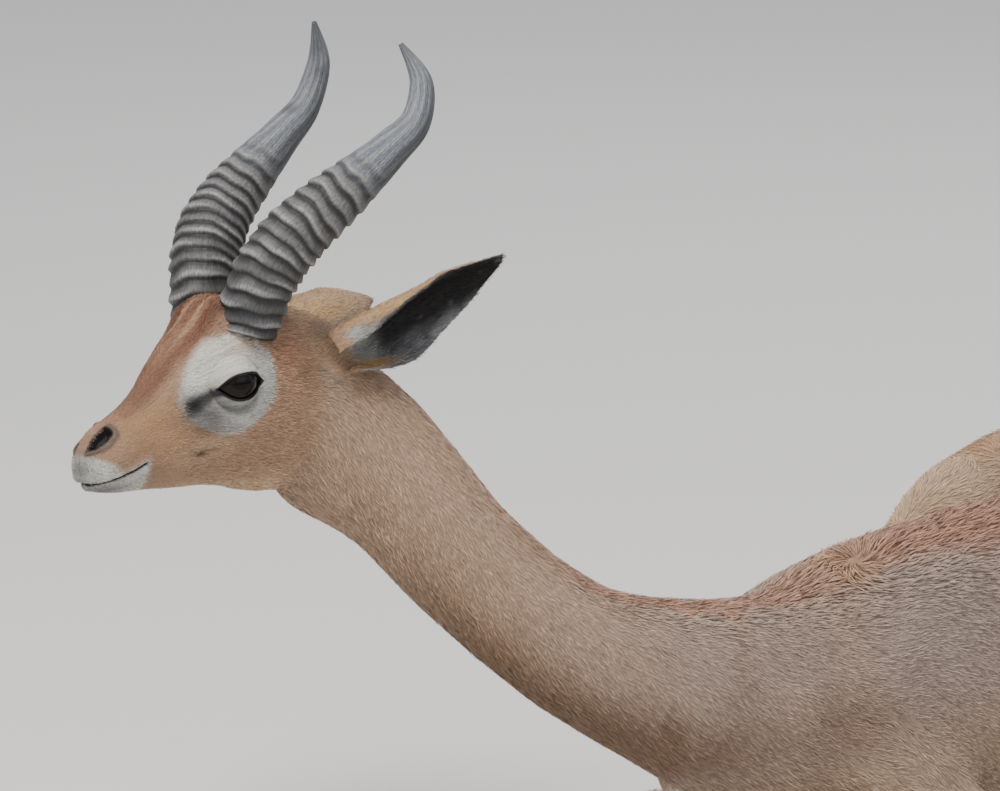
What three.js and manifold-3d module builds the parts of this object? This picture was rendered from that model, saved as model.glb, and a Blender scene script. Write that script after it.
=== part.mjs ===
// An adult male gerenuk lying on its chest, head raised, legs folded under it.
// Millimetres, +Z up. The head points to -X, the trunk runs back towards +X and +Y.
import * as THREE from 'three';
import { mergeVertices } from 'three/addons/utils/BufferGeometryUtils.js';
import Module from 'manifold-3d';

const wasm = await Module();
wasm.setup();

// Driving dimensions
const GAP = 0.3;
const HEAD_LENGTH = 262;
const HEAD_YAW = 220;
const HEAD_PITCH = 2;
const HEAD_ROLL = 6;
const NOSE_AT = [-316, -135, 377];
const EYE_RADIUS = 19;
const EYE_AT = [-129, 35, 41];
const HORN_RINGS = 15;
const HORN_RINGED_SHARE = 0.6;
const HORN_SMOOTH_STEPS = 9;
const EAR_LENGTH = 142;
const EAR_HALF_WIDTHS = [20, 27, 33, 34, 29, 18, 3.5];
const EAR_TIPS = { left: [-343, 100, 103], right: [-367, -80, 60] };
const EAR_WALL = 5;
const FLOOR_DEPTH = 60;

const COLOURS = {
  coat: 0xa58a73, face: 0xa9774c, horn: 0x6d6f72, eye: 0x0b0a0c, hoof: 0x2c2723, tuft: 0x1d1916,
};
const radians = THREE.MathUtils.degToRad;
const vector = (p) => new THREE.Vector3(...p);

// A closed mesh as a solid that can be cut, and back again
function solidOf(geometry) {
  const bare = geometry.index ? geometry.toNonIndexed() : geometry.clone();
  bare.deleteAttribute('normal');
  bare.deleteAttribute('uv');
  const merged = mergeVertices(bare, 1e-4);
  const solid = new wasm.Manifold(new wasm.Mesh({
    numProp: 3,
    vertProperties: new Float32Array(merged.attributes.position.array),
    triVerts: new Uint32Array(merged.index.array),
  }));
  return solid;
}

function geometryOf(solid) {
  const mesh = solid.getMesh();
  const geometry = new THREE.BufferGeometry();
  geometry.setAttribute('position', new THREE.BufferAttribute(mesh.vertProperties, 3));
  geometry.setIndex(new THREE.BufferAttribute(mesh.triVerts, 1));
  return geometry;
}

// Smooth value between stations, so that a curve through few points is enough
function between(values, at) {
  const last = values.length - 1;
  const i = Math.min(Math.floor(at), last - 1);
  const f = at - i;
  const [a, b, c, d] = [i - 1, i, i + 1, i + 2].map((k) => values[Math.max(0, Math.min(last, k))]);
  return b + 0.5 * f * (c - a + f * (2 * a - 5 * b + 4 * c - d + f * (3 * (b - c) + d - a)));
}

// A closed body through stations { at, wide, up, down, roll, low, high }: wide, up and down are
// half sizes, low and high scale the width of the lower and upper part of the section.
function loft(stations, { around = 16, steps = 3, grow = 0, hint = [0, 0, 1], shape } = {}) {
  const value = (name, u, other) => between(stations.map((s) => s[name] ?? other), u);
  const centre = (u) => new THREE.Vector3(...[0, 1, 2].map((k) => between(stations.map((s) => s.at[k]), u)));
  const last = stations.length - 1;
  const positions = [];
  const rings = last * steps + 1;
  for (let r = 0; r < rings; r += 1) {
    const u = r / steps;
    const c = centre(u);
    const along = centre(Math.min(last, u + 0.05)).sub(centre(Math.max(0, u - 0.05))).normalize();
    const up = vector(hint).addScaledVector(along, -vector(hint).dot(along)).normalize();
    const side = new THREE.Vector3().crossVectors(along, up);
    const roll = radians(value('roll', u, 0));
    const top = up.clone().multiplyScalar(Math.cos(roll)).addScaledVector(side, Math.sin(roll));
    const left = side.clone().multiplyScalar(Math.cos(roll)).addScaledVector(up, -Math.sin(roll));
    if (r === 0) c.addScaledVector(along, -grow);
    if (r === rings - 1) c.addScaledVector(along, grow);
    const low = value('low', u, 1);
    const high = value('high', u, 1);
    const waist = value('waist', u, 1);
    for (let k = 0; k < around; k += 1) {
      const angle = (2 * Math.PI * k) / around;
      const [x, y] = [Math.cos(angle), Math.sin(angle)];
      const width = waist + ((high - low) / 2) * y + ((high + low) / 2 - waist) * y * y;
      const reach = value(y > 0 ? 'up' : 'down', u) + grow;
      const p = c.clone().addScaledVector(left, x * (value('wide', u) * width + grow));
      p.addScaledVector(top, y * reach);
      if (shape) shape(p);
      positions.push(...p);
    }
  }
  const index = [];
  for (let r = 0; r < rings - 1; r += 1) {
    for (let k = 0; k < around; k += 1) {
      const [a, b] = [r * around + k, r * around + ((k + 1) % around)];
      index.push(a, b, b + around, a, b + around, a + around);
    }
  }
  for (let k = 1; k < around - 1; k += 1) {
    index.push(0, k + 1, k);
    const end = (rings - 1) * around;
    index.push(end, end + k, end + k + 1);
  }
  const geometry = new THREE.BufferGeometry();
  geometry.setAttribute('position', new THREE.Float32BufferAttribute(positions, 3));
  geometry.setIndex(index);
  let solid = solidOf(geometry);
  if (solid.volume() < 0) {
    geometry.setIndex(index.map((_, i) => index[i - (i % 3) + [0, 2, 1][i % 3]]));
    solid = solidOf(geometry);
  }
  return solid;
}

function box(size, at, turn = [0, 0, 0]) {
  const geometry = new THREE.BoxGeometry(...size);
  geometry.applyMatrix4(new THREE.Matrix4().makeRotationFromEuler(new THREE.Euler(...turn.map(radians))));
  geometry.translate(...at);
  return solidOf(geometry);
}

function largest(solid) {
  return solid.decompose().sort((a, b) => b.volume() - a.volume())[0];
}

const floor = box([4000, 4000, FLOOR_DEPTH], [300, 200, -FLOOR_DEPTH / 2]);
function cutAway(solid, others) {
  return largest(others.reduce((left, cut) => left.subtract(cut), solid.subtract(floor)));
}

// Head, in its own axes: x forward from the back of the skull to the nose at 0, y to its left, z up
const headPose = new THREE.Matrix4().makeTranslation(...NOSE_AT)
  .multiply(new THREE.Matrix4().makeRotationZ(radians(HEAD_YAW)))
  .multiply(new THREE.Matrix4().makeRotationY(radians(HEAD_PITCH)))
  .multiply(new THREE.Matrix4().makeRotationX(radians(HEAD_ROLL)));

// Distance back from the nose, top and bottom of the profile, half width, and the width low,
// middle and high in the section
const HEAD_PROFILE = [
  [7, 4, -9, 6, 1.0, 1.0, 1.0],
  [8.5, 10, -15, 12, 0.95, 1.0, 1.0],
  [12, 15, -22, 17, 0.85, 1.0, 0.95],
  [20, 20, -28, 21, 0.8, 1.0, 0.85],
  [38, 27, -32, 24, 0.85, 1.0, 0.8],
  [62, 38, -35, 27, 0.85, 1.0, 0.75],
  [88, 55, -40, 33, 0.72, 1.0, 0.78],
  [112, 74, -44, 44, 0.6, 0.98, 0.85],
  [132, 88, -48, 51, 0.52, 0.93, 0.86],
  [156, 95, -50, 51, 0.56, 0.93, 0.84],
  [182, 92, -51, 47, 0.72, 0.98, 0.84],
  [210, 82, -51, 46, 0.84, 1.0, 0.9],
  [236, 66, -50, 46, 0.9, 1.0, 0.95],
  [HEAD_LENGTH, 42, -38, 34, 0.95, 1.0, 1.0],
];

// Swellings and hollows of the face: place, reach, and how far the surface moves along y and z
const FACE = [
  { at: [-118, 47, 66], reach: 20, move: [4, 4] },
  { at: [-128, 54, 40], reach: 17, move: [-4, 0] },
  { at: [-103, 38, 26], reach: 16, move: [-4, 0] },
  { at: [-140, 50, 10], reach: 24, move: [4, 0] },
  { at: [-180, 44, -28], reach: 26, move: [4, 0] },
  { at: [-12, 18, 8], reach: 9, move: [-3, 0] },
  { at: [-24, 20, -4], reach: 14, move: [3, 0] },
  { at: [-70, 27, -4], reach: 22, move: [-4, 0] },
];

function faceShape(p) {
  const side = p.y < 0 ? -1 : 1;
  const start = p.clone();
  for (const { at, reach, move } of FACE) {
    const away = Math.hypot(start.x - at[0], Math.abs(start.y) - at[1], start.z - at[2]) / reach;
    const fade = Math.exp(-away * away);
    p.y += side * move[0] * fade;
    p.z += move[1] * fade;
  }
}

const headStations = HEAD_PROFILE.map(([back, top, bottom, wide, low, waist, high]) => ({
  at: [-back, 0, (top + bottom) / 2], wide, up: (top - bottom) / 2, down: (top - bottom) / 2, low, waist, high,
}));
const inHead = (solid) => solidOf(geometryOf(solid).applyMatrix4(headPose));
const headLoft = (grow) => inHead(loft(headStations, { around: 20, steps: 2, grow, shape: faceShape }));

// Eyes
function eyeSolid(side, radius) {
  const ball = new THREE.SphereGeometry(radius, 12, 8);
  ball.translate(EYE_AT[0], side * EYE_AT[1], EYE_AT[2]);
  return inHead(solidOf(ball));
}

// Horns rise from the forehead, sweep back and out, then turn up and forward at the tip
const HORN_PATH = [
  [-154, 25, 74], [-167, 37, 112], [-186, 48, 138], [-212, 57, 158], [-242, 62, 176],
  [-272, 65, 194], [-301, 66, 214], [-314, 61, 244], [-306, 51, 275],
];
const HORN_RADII = [25, 26.5, 26.5, 24, 20, 15.5, 12, 9, 2];

function hornLoft(side, grow = 0) {
  const stations = HORN_PATH.map(([x, y, z], i) => ({ at: [x, side * y, z], radius: HORN_RADII[i] }));
  const last = stations.length - 1;
  const ringed = [];
  const count = 2 * HORN_RINGS + HORN_SMOOTH_STEPS;
  for (let i = 0; i <= count; i += 1) {
    const ring = i <= 2 * HORN_RINGS;
    const above = (i - 2 * HORN_RINGS) / HORN_SMOOTH_STEPS;
    const ringShare = (HORN_RINGED_SHARE * i) / (2 * HORN_RINGS);
    const share = ring ? ringShare : THREE.MathUtils.lerp(HORN_RINGED_SHARE, 1, above);
    const u = share * last;
    const at = [0, 1, 2].map((k) => between(stations.map((s) => s.at[k]), u));
    const crest = ring && i % 2 === 1 ? 1.6 * (1 - 0.6 * share) : 0;
    const radius = between(stations.map((s) => s.radius), u) + crest;
    ringed.push({ at, wide: radius * 0.86, up: radius, down: radius });
  }
  return inHead(loft(ringed, { around: 9, steps: 1, grow, hint: [1, 0, 0.2] }));
}

// Ears are leaves, folded round into a cup that opens outwards and forwards
function earSolid(side, tipAt) {
  const base = vector([-226, side * 44, 54]);
  const tip = vector(tipAt);
  const along = tip.clone().sub(base).normalize();
  const facing = vector([0.55, side * 0.6, -0.6]);
  facing.addScaledVector(along, -facing.dot(along)).normalize();
  const across = new THREE.Vector3().crossVectors(along, facing);
  const rows = 10;
  const columns = 7;
  const skin = (offset) => {
    const points = [];
    for (let r = 0; r < rows; r += 1) {
      const u = r / (rows - 1);
      const half = between(EAR_HALF_WIDTHS, u * (EAR_HALF_WIDTHS.length - 1));
      const cup = THREE.MathUtils.lerp(150, 60, Math.min(1, u * 1.5));
      const bend = half / Math.min(1.25, radians(cup));
      for (let c = 0; c < columns; c += 1) {
        const angle = radians(cup) * ((2 * c) / (columns - 1) - 1);
        const radius = bend + offset;
        const p = base.clone().addScaledVector(along, EAR_LENGTH * (u - 0.06));
        p.addScaledVector(across, Math.sin(angle) * radius);
        p.addScaledVector(facing, bend * 0.55 - Math.cos(angle) * radius);
        points.push(p);
      }
    }
    return points;
  };
  const points = [...skin(EAR_WALL / 2), ...skin(-EAR_WALL / 2)];
  const inner = rows * columns;
  const index = [];
  const quad = (a, b, c, d) => index.push(a, b, c, a, c, d);
  for (let r = 0; r < rows - 1; r += 1) {
    for (let c = 0; c < columns - 1; c += 1) {
      const a = r * columns + c;
      quad(a, a + 1, a + columns + 1, a + columns);
      quad(inner + a, inner + a + columns, inner + a + columns + 1, inner + a + 1);
    }
    const [a, z] = [r * columns, r * columns + columns - 1];
    quad(a, a + columns, inner + a + columns, inner + a);
    quad(z, inner + z, inner + z + columns, z + columns);
  }
  for (let c = 0; c < columns - 1; c += 1) {
    const top = (rows - 1) * columns + c;
    quad(c, inner + c, inner + c + 1, c + 1);
    quad(top, top + 1, inner + top + 1, inner + top);
  }
  const geometry = new THREE.BufferGeometry();
  geometry.setAttribute('position', new THREE.Float32BufferAttribute(points.flatMap((p) => [...p]), 3));
  geometry.setIndex(index);
  let solid = solidOf(geometry);
  if (solid.volume() < 0) {
    geometry.setIndex(index.map((_, i) => index[i - (i % 3) + [0, 2, 1][i % 3]]));
    solid = solidOf(geometry);
  }
  return inHead(solid);
}

// Neck, from inside the head down to the chest
const NECK = [
  { at: [-150, 0, 388], wide: 34, up: 46, down: 46, roll: 10 },
  { at: [-128, 8, 374], wide: 42, up: 60, down: 60, roll: 8 },
  { at: [-102, 10, 351], wide: 44, up: 61, down: 60, roll: 5 },
  { at: [-71, 0, 321], wide: 43, up: 59, down: 57, roll: 4 },
  { at: [-32, -22, 281], wide: 42, up: 55, down: 55, roll: 4 },
  { at: [12, -42, 245], wide: 43, up: 54, down: 54, roll: 6 },
  { at: [54, -55, 217], wide: 46, up: 56, down: 56, roll: 8 },
  { at: [90, -62, 202], wide: 51, up: 62, down: 62, roll: 10 },
  { at: [142, -60, 186], wide: 61, up: 74, down: 76, roll: 12 },
  { at: [194, -30, 166], wide: 68, up: 92, down: 98, roll: 14 },
  { at: [230, 18, 152], wide: 50, up: 84, down: 90, roll: 14 },
];
const neckLoft = (grow = 0) => loft(NECK, { around: 18, steps: 1, grow });

// Trunk, from the brisket to the buttocks
const TRUNK = [
  { at: [150, -52, 98], wide: 34, up: 44, down: 40, roll: 8 },
  { at: [162, -38, 108], wide: 64, up: 84, down: 84, roll: 9 },
  { at: [200, -4, 130], wide: 88, up: 126, down: 130, roll: 12, high: 0.82 },
  { at: [256, 42, 143], wide: 102, up: 142, down: 152, roll: 14, high: 0.62, waist: 1, low: 0.8 },
  { at: [330, 104, 148], wide: 104, up: 150, down: 159, roll: 15, high: 0.7, low: 0.84 },
  { at: [404, 172, 150], wide: 110, up: 150, down: 160, roll: 16, high: 0.78, low: 0.9 },
  { at: [474, 240, 152], wide: 112, up: 148, down: 157, roll: 17, high: 0.8, low: 0.9 },
  { at: [542, 314, 154], wide: 104, up: 148, down: 150, roll: 18, high: 0.85, low: 0.85 },
  { at: [606, 390, 152], wide: 92, up: 140, down: 124, roll: 18, high: 0.9 },
  { at: [652, 450, 146], wide: 74, up: 116, down: 104, roll: 18 },
  { at: [676, 482, 140], wide: 40, up: 70, down: 70, roll: 18 },
];
const trunkLoft = (grow = 0) => loft(TRUNK, { around: 20, steps: 2, grow });

// Tail, laid down behind the rump to the floor
const TAIL = [
  { at: [640, 436, 236], wide: 14, up: 15, down: 15 },
  { at: [680, 486, 212], wide: 13, up: 12, down: 12 },
  { at: [708, 520, 160], wide: 11, up: 10, down: 10 },
  { at: [722, 538, 104], wide: 9, up: 8, down: 8 },
  { at: [730, 548, 62], wide: 8, up: 7, down: 7 },
];
const TAIL_TUFT = [
  { at: [729, 547, 66], wide: 8, up: 7, down: 7 },
  { at: [734, 553, 44], wide: 12, up: 10, down: 10 },
  { at: [744, 566, 20], wide: 13, up: 11, down: 11 },
  { at: [764, 590, 8], wide: 10, up: 8, down: 9 },
  { at: [784, 612, 5], wide: 3, up: 3, down: 5.5 },
];

// Legs: each is a list of lengths from the body to the foot
const FORE_RIGHT = {
  upper: [
    { at: [240, 80, 226], wide: 12, up: 22, down: 24 },
    { at: [207, 88, 200], wide: 22, up: 46, down: 44 },
    { at: [198, 92, 150], wide: 28, up: 50, down: 56 },
    { at: [226, 122, 108], wide: 30, up: 46, down: 56 },
    { at: [250, 142, 78], wide: 24, up: 30, down: 40 },
  ],
  forearm: [
    { at: [292, 182, 76], wide: 24, up: 27, down: 27 },
    { at: [258, 156, 70], wide: 29, up: 29, down: 27 },
    { at: [200, 112, 56], wide: 23, up: 24, down: 22 },
    { at: [150, 78, 52], wide: 21, up: 22, down: 22 },
    { at: [118, 62, 56], wide: 24, up: 28, down: 28 },
    { at: [96, 56, 46], wide: 20, up: 24, down: 26 },
    { at: [88, 54, 40], wide: 8, up: 10, down: 12 },
  ],
  cannon: [
    { at: [102, 66, 17], wide: 14, up: 15, down: 18 },
    { at: [150, 100, 15], wide: 12, up: 12, down: 15.5 },
    { at: [220, 152, 15], wide: 11, up: 12, down: 15.5 },
    { at: [282, 206, 16], wide: 14, up: 15, down: 17 },
    { at: [296, 224, 18], wide: 12, up: 13, down: 16 },
  ],
  pastern: [
    { at: [296, 224, 19], wide: 11, up: 12, down: 14 },
    { at: [290, 248, 22], wide: 11, up: 12, down: 12 },
    { at: [274, 270, 22], wide: 13, up: 14, down: 14 },
  ],
  hoof: { at: [274, 270, 20], to: [240, 300, 12] },
};
const FORE_LEFT = {
  upper: [
    { at: [298, 8, 228], wide: 12, up: 24, down: 24 },
    { at: [290, -16, 200], wide: 22, up: 46, down: 44 },
    { at: [288, -28, 150], wide: 28, up: 54, down: 54 },
    { at: [316, -24, 108], wide: 30, up: 48, down: 56 },
    { at: [344, -22, 78], wide: 24, up: 30, down: 40 },
  ],
  forearm: [
    { at: [378, -18, 74], wide: 22, up: 26, down: 26 },
    { at: [344, -48, 68], wide: 28, up: 29, down: 27 },
    { at: [282, -92, 56], wide: 23, up: 24, down: 22 },
    { at: [232, -126, 52], wide: 21, up: 22, down: 22 },
    { at: [200, -146, 54], wide: 24, up: 28, down: 28 },
    { at: [178, -160, 46], wide: 20, up: 24, down: 26 },
    { at: [170, -165, 40], wide: 8, up: 10, down: 12 },
  ],
  cannon: [
    { at: [184, -160, 17], wide: 14, up: 15, down: 18 },
    { at: [236, -134, 15], wide: 12, up: 12, down: 15.5 },
    { at: [308, -92, 15], wide: 11, up: 12, down: 15.5 },
    { at: [374, -50, 16], wide: 14, up: 15, down: 17 },
    { at: [390, -36, 18], wide: 12, up: 13, down: 16 },
  ],
  pastern: [
    { at: [390, -36, 19], wide: 11, up: 12, down: 14 },
    { at: [412, -32, 22], wide: 11, up: 12, down: 12 },
    { at: [434, -42, 22], wide: 13, up: 14, down: 14 },
  ],
  hoof: { at: [434, -42, 20], to: [462, -74, 12] },
};
const HIND_RIGHT = {
  upper: [
    { at: [596, 470, 190], wide: 40, up: 74, down: 70, roll: 10 },
    { at: [540, 446, 196], wide: 56, up: 106, down: 100, roll: 10 },
    { at: [462, 396, 208], wide: 56, up: 100, down: 96, roll: 8 },
    { at: [396, 350, 208], wide: 48, up: 86, down: 80, roll: 6 },
    { at: [340, 318, 190], wide: 40, up: 62, down: 60, roll: 6 },
    { at: [308, 304, 176], wide: 26, up: 36, down: 38, roll: 6 },
  ],
  shank: [
    { at: [330, 330, 150], wide: 30, up: 40, down: 40 },
    { at: [378, 372, 112], wide: 30, up: 38, down: 36 },
    { at: [440, 430, 74], wide: 20, up: 24, down: 24 },
    { at: [496, 482, 48], wide: 16, up: 22, down: 22 },
    { at: [522, 504, 34], wide: 17, up: 24, down: 26 },
    { at: [532, 514, 28], wide: 8, up: 12, down: 12 },
  ],
  cannon: [
    { at: [522, 520, 19], wide: 15, up: 16, down: 20 },
    { at: [470, 488, 15], wide: 12, up: 12, down: 15.5 },
    { at: [390, 428, 15], wide: 12, up: 12, down: 15.5 },
    { at: [316, 372, 16], wide: 14, up: 15, down: 17 },
    { at: [298, 360, 18], wide: 12, up: 13, down: 16 },
  ],
  pastern: [
    { at: [298, 360, 19], wide: 11, up: 12, down: 14 },
    { at: [272, 348, 22], wide: 11, up: 12, down: 13 },
    { at: [246, 338, 22], wide: 13, up: 14, down: 14 },
  ],
  hoof: { at: [246, 338, 20], to: [206, 324, 12] },
};
const HIND_LEFT = {
  upper: [
    { at: [690, 398, 146], wide: 34, up: 62, down: 60, roll: 14 },
    { at: [676, 352, 140], wide: 50, up: 92, down: 92, roll: 16 },
    { at: [630, 268, 138], wide: 52, up: 96, down: 92, roll: 18 },
    { at: [586, 196, 134], wide: 46, up: 84, down: 80, roll: 18 },
    { at: [552, 140, 120], wide: 38, up: 62, down: 60, roll: 16 },
    { at: [534, 112, 110], wide: 24, up: 36, down: 38, roll: 14 },
  ],
  shank: [
    { at: [566, 118, 92], wide: 28, up: 38, down: 38 },
    { at: [616, 158, 70], wide: 28, up: 36, down: 34 },
    { at: [672, 220, 56], wide: 20, up: 24, down: 24 },
    { at: [720, 280, 44], wide: 16, up: 22, down: 22 },
    { at: [742, 306, 34], wide: 17, up: 24, down: 26 },
    { at: [750, 318, 28], wide: 8, up: 12, down: 12 },
  ],
  cannon: [
    { at: [752, 300, 19], wide: 15, up: 16, down: 20 },
    { at: [716, 250, 15], wide: 12, up: 12, down: 15.5 },
    { at: [660, 168, 15], wide: 12, up: 12, down: 15.5 },
    { at: [608, 92, 16], wide: 14, up: 15, down: 17 },
    { at: [598, 74, 18], wide: 12, up: 13, down: 16 },
  ],
  pastern: [
    { at: [598, 74, 19], wide: 11, up: 12, down: 14 },
    { at: [588, 50, 22], wide: 11, up: 12, down: 13 },
    { at: [574, 26, 22], wide: 13, up: 14, down: 14 },
  ],
  hoof: { at: [574, 26, 20], to: [550, -8, 12] },
};
const FORWARD = [-0.77, -0.64, 0];
const LEGS = { fore_right: FORE_RIGHT, fore_left: FORE_LEFT, hind_right: HIND_RIGHT, hind_left: HIND_LEFT };

// A hoof is two claws side by side
const CLAW_SPREAD = 8.5;
function clawStations({ at, to }, side) {
  const start = vector(at);
  const end = vector(to);
  const along = end.clone().sub(start).normalize();
  const across = new THREE.Vector3().crossVectors(along, new THREE.Vector3(0, 0, 1)).normalize();
  const point = (share, height) => {
    const p = start.clone().lerp(end, share).addScaledVector(across, side * CLAW_SPREAD);
    return [p.x, p.y, height];
  };
  return [
    { at: point(0.02, 19), wide: 7.4, up: 11, down: 13 },
    { at: point(0.35, 15), wide: 8, up: 13, down: 16 },
    { at: point(0.75, 10), wide: 6.6, up: 9, down: 11 },
    { at: point(1.05, 5), wide: 2.5, up: 3, down: 5.6 },
  ];
}

const model = new THREE.Group();
function addPiece(name, solid, colour, roughness = 0.8) {
  const material = new THREE.MeshStandardMaterial({ color: colour, roughness, metalness: 0 });
  const mesh = new THREE.Mesh(geometryOf(solid), material);
  mesh.name = name;
  model.add(mesh);
}

// Head, with its sockets
const head = headLoft(0);
const headGrown = headLoft(GAP);
const sides = { left: 1, right: -1 };
let headCut = head;
for (const [name, side] of Object.entries(sides)) {
  const eye = largest(eyeSolid(side, EYE_RADIUS));
  headCut = headCut.subtract(eyeSolid(side, EYE_RADIUS + GAP));
  addPiece(`eye_${name}`, eye, COLOURS.eye, 0.05);
  addPiece(`horn_${name}`, largest(hornLoft(side).subtract(headGrown)), COLOURS.horn, 0.5);
  addPiece(`ear_${name}`, largest(earSolid(side, EAR_TIPS[name]).subtract(headGrown)), COLOURS.coat);
}
addPiece('head', largest(headCut), COLOURS.face);

// Neck in two lengths, trunk in three
const neckCut = box([260, 260, GAP], [-8, -36, 260], [0, -48, 0]);
const trunkWhole = largest(trunkLoft().subtract(floor));
const neckWhole = cutAway(neckLoft(), [headGrown, trunkLoft(GAP)]);
const lowX = (solid) => solid.boundingBox().min[0];
const frontFirst = (solid) => solid.decompose().sort((a, b) => lowX(a) - lowX(b));
const neckParts = frontFirst(neckWhole.subtract(neckCut));
['neck_upper', 'neck_lower'].forEach((name, i) => addPiece(name, neckParts[i], COLOURS.coat));
const trunkCuts = [
  box([GAP, 500, 500], [352, 124, 150], [0, 0, 42]),
  box([GAP, 500, 500], [500, 268, 150], [0, 0, 46]),
];
const trunkParts = frontFirst(trunkCuts.reduce((left, cut) => left.subtract(cut), trunkWhole));
['chest', 'belly', 'rump'].forEach((name, i) => addPiece(name, trunkParts[i], COLOURS.coat));

// Tail
const body = [trunkLoft(GAP), neckLoft(GAP)];
const tailLoft = (stations, grow = 0) => loft(stations, { around: 6, steps: 2, grow });
addPiece('tail', cutAway(tailLoft(TAIL), body), COLOURS.coat);
addPiece('tail_tuft', cutAway(tailLoft(TAIL_TUFT), [...body, tailLoft(TAIL, GAP)]), COLOURS.tuft);

// Legs, each length cut clear of those before it
const placed = [...body];
for (const [leg, lengths] of Object.entries(LEGS)) {
  for (const [name, stations] of Object.entries(lengths)) {
    if (name === 'hoof') continue;
    const settings = { around: name === 'upper' ? 14 : 8, steps: name === 'upper' ? 2 : 1 };
    if (name === 'upper' && leg.startsWith('fore')) settings.hint = FORWARD;
    addPiece(`${leg}_${name}`, cutAway(loft(stations, settings), placed), COLOURS.coat);
    placed.push(loft(stations, { ...settings, grow: GAP }));
  }
  for (const [name, side] of Object.entries({ inner: 1, outer: -1 })) {
    const claw = clawStations(lengths.hoof, side);
    addPiece(`${leg}_hoof_${name}`, cutAway(loft(claw, { around: 6, steps: 1 }), placed), COLOURS.hoof, 0.5);
    placed.push(loft(claw, { around: 6, steps: 1, grow: GAP }));
  }
}

// The origin is on the floor, under the middle of the animal
const bounds = new THREE.Box3().setFromObject(model);
const middle = bounds.getCenter(new THREE.Vector3());
model.position.set(-middle.x, -middle.y, 0);

export default model;
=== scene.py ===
import math

import bmesh
import bpy
import numpy as np
from mathutils import Matrix, Vector


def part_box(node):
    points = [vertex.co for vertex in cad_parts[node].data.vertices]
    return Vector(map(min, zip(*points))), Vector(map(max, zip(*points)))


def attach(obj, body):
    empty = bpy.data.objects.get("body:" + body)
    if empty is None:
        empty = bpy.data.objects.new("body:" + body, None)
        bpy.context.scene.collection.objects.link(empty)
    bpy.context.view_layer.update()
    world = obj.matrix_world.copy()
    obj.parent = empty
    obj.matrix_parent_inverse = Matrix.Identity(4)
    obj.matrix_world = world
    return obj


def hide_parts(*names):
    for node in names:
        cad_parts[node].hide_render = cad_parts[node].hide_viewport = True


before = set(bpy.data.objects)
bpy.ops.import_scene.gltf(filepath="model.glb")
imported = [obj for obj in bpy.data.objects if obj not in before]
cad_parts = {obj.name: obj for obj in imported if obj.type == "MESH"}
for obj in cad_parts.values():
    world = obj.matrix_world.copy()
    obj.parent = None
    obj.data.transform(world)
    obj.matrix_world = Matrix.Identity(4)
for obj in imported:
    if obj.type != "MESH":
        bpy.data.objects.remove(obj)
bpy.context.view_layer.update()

MM = 0.001
RANDOM = np.random.default_rng(7)

# The head's own axes, in millimetres: x forward with the nose near 0, y to its left, z up
HEAD_YAW = 220
HEAD_PITCH = 2
HEAD_ROLL = 6
EYE_AT = np.array([-129.0, 35.0, 41.0])
EYE_RADIUS = 19.0


def unit(vectors, tiny=0):
    return vectors / (np.linalg.norm(vectors, axis=-1, keepdims=True) + tiny)


def turn(axis, degrees):
    return np.array(Matrix.Rotation(math.radians(degrees), 3, axis))


HEAD_TURN = turn("Z", HEAD_YAW) @ turn("Y", HEAD_PITCH) @ turn("X", HEAD_ROLL)
low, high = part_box("eye_left")
EYE_LEFT = (np.array(low) + np.array(high)) / 2 / MM
NOSE = EYE_LEFT - HEAD_TURN @ EYE_AT

# Body places are written from a point under the camera's aim; this moves them into the frame
SHIFT = NOSE - np.array([-316.0, -135.0, 377.0])


def body_place(point):
    return np.array(point, float) + SHIFT


def to_head(points):
    return (points - NOSE) @ HEAD_TURN


def from_head(points):
    return NOSE + np.array(points, float) @ HEAD_TURN.T


def to_left(p):
    """Points mirrored to the head's left side, and the factors that mirror them back."""
    back = np.ones_like(p)
    back[p[:, 1] < 0, 1] = -1
    return p * back, back


# Camera, at the photograph's viewing angle
CAMERA_TILT = math.radians(12)
CAMERA_DISTANCE = 6500.0
MM_PER_PIXEL = 0.75
FRAME_WIDTH = 1000
AIM = body_place([0, 0, 398.4])
SENSOR = 36.0


def add_camera():
    data = bpy.data.cameras.new("view")
    camera = bpy.data.objects.new("view", data)
    bpy.context.scene.collection.objects.link(camera)
    data.sensor_width = SENSOR
    data.lens = SENSOR * CAMERA_DISTANCE / (FRAME_WIDTH * MM_PER_PIXEL)
    data.clip_end = 100
    look = np.array([0, math.cos(CAMERA_TILT), -math.sin(CAMERA_TILT)])
    camera.location = (AIM - CAMERA_DISTANCE * look) * MM
    camera.rotation_euler = (math.pi / 2 - CAMERA_TILT, 0, 0)
    bpy.context.scene.camera = camera


def add_light(name, place, size, power, colour):
    data = bpy.data.lights.new(name, "AREA")
    data.size = size
    data.energy = power
    data.color = colour
    light = bpy.data.objects.new(name, data)
    light.location = place
    light.rotation_euler = (Vector((0, 0, 0.25)) - Vector(place)).to_track_quat("-Z", "Y").to_euler()
    bpy.context.scene.collection.objects.link(light)


# Colours, as seen on a screen from 0 to 255
PALETTE = {
    "fawn": (180, 148, 119), "shoulder": (170, 149, 136), "flank": (180, 151, 122),
    "shade_brown": (126, 98, 74), "rust": (170, 124, 98), "saddle": (130, 99, 82),
    # shade_brown: the darker brown used for painted shade under the neck and in the shoulder hollow
    "white": (228, 224, 216), "cream": (224, 194, 158),
    "tan": (184, 138, 96), "chestnut": (124, 80, 60), "temple": (168, 126, 98), "ochre": (178, 140, 98),
    "cheek": (178, 144, 116), "grey": (140, 140, 140), "pale": (176, 176, 170), "smoke": (86, 82, 82),
    "dark": (64, 46, 36), "black": (22, 19, 19), "gold": (196, 160, 116), "lip": (104, 106, 112),
    "crown": (204, 168, 128), "ring": (222, 219, 208),
}


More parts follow.
